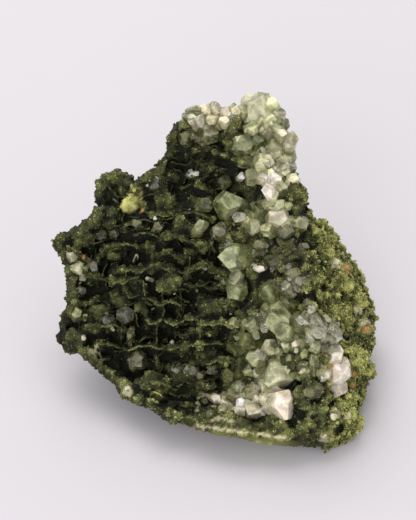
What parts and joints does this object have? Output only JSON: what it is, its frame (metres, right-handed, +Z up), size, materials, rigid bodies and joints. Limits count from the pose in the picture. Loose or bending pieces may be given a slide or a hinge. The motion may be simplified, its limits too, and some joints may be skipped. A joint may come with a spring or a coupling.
{
  "type": "epidote crystal cluster",
  "caption": "Hand-size lump of rock in a mossy green epidote crust with thin ledges, and pale quartz crystals along its crest; stands on a flat cut base.",
  "frame": {"origin": "the middle of the whole object's bounding box, on its flat base", "axes": "+Z up from the flat base; the leaning crystal face looks towards -Y and 42 degrees upwards; +X runs across that face to the right, the cluster's longest side"},
  "size_m": [0.1112, 0.0927, 0.0894],
  "materials": {
    "epidote_crust": "matte",
    "pale_quartz": "gloss",
    "green_quartz": "gloss",
    "milky_quartz": "satin"
  },
  "bodies": {
    "root": {"epidote_matrix": "epidote_crust", "quartz_summit": "pale_quartz", "quartz_summit_druse": "pale_quartz", "quartz_facet_upper": "green_quartz", "quartz_crest_top": "pale_quartz", "quartz_crest_inner": "green_quartz", "quartz_small_green": "green_quartz", "quartz_upper_single": "green_quartz", "quartz_crest_middle": "pale_quartz", "quartz_middle_single": "green_quartz", "quartz_crest_knot": "green_quartz", "quartz_clear_blades": "pale_quartz", "quartz_rosy_block": "milky_quartz", "quartz_green_pair": "green_quartz", "quartz_white_tip": "milky_quartz", "quartz_cream_group": "milky_quartz", "quartz_dim_block": "green_quartz", "quartz_left_pair": "pale_quartz", "quartz_pale_stud": "pale_quartz", "quartz_sparkle_group": "pale_quartz", "quartz_grey_lens": "green_quartz"}
  },
  "joints": []
}
